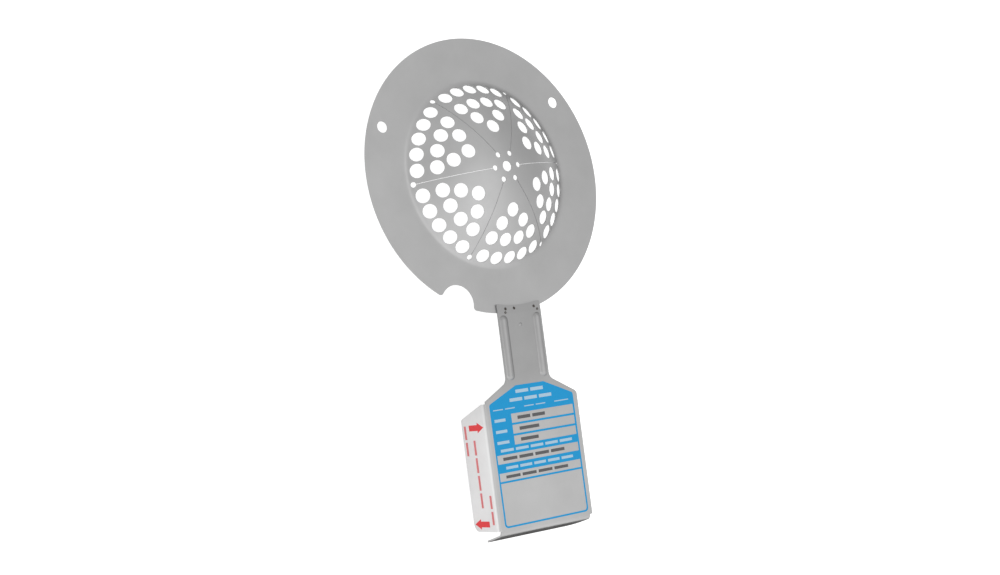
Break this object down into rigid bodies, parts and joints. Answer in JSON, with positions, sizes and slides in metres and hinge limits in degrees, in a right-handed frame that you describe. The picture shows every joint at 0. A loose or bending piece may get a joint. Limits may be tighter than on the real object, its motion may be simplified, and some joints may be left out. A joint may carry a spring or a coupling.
{
  "type": "rupture disc",
  "caption": "flat-seat composite rupture disc: a slit and perforated dome in a plain flange, with a seal film beneath it and a folded identification tag on its edge",
  "frame": {"origin": "centre of the flange's flat back face, the face that seats on the inlet flange", "axes": "+Z along the disc's axis through the crown of the dome, towards the vent side; the tag points towards -Y; +X to the right seen from the vent side"},
  "size_m": [0.1364, 0.2447, 0.0427],
  "materials": {
    "disc_steel": "satin mill finish, fine concentric grain",
    "film": "clear thin fluoropolymer film",
    "tag_steel": "satin sheet with blue and red print"
  },
  "bodies": {
    "root": {"perforated_disc": "disc_steel", "seal_film": "film", "id_tag": "tag_steel"}
  },
  "joints": []
}
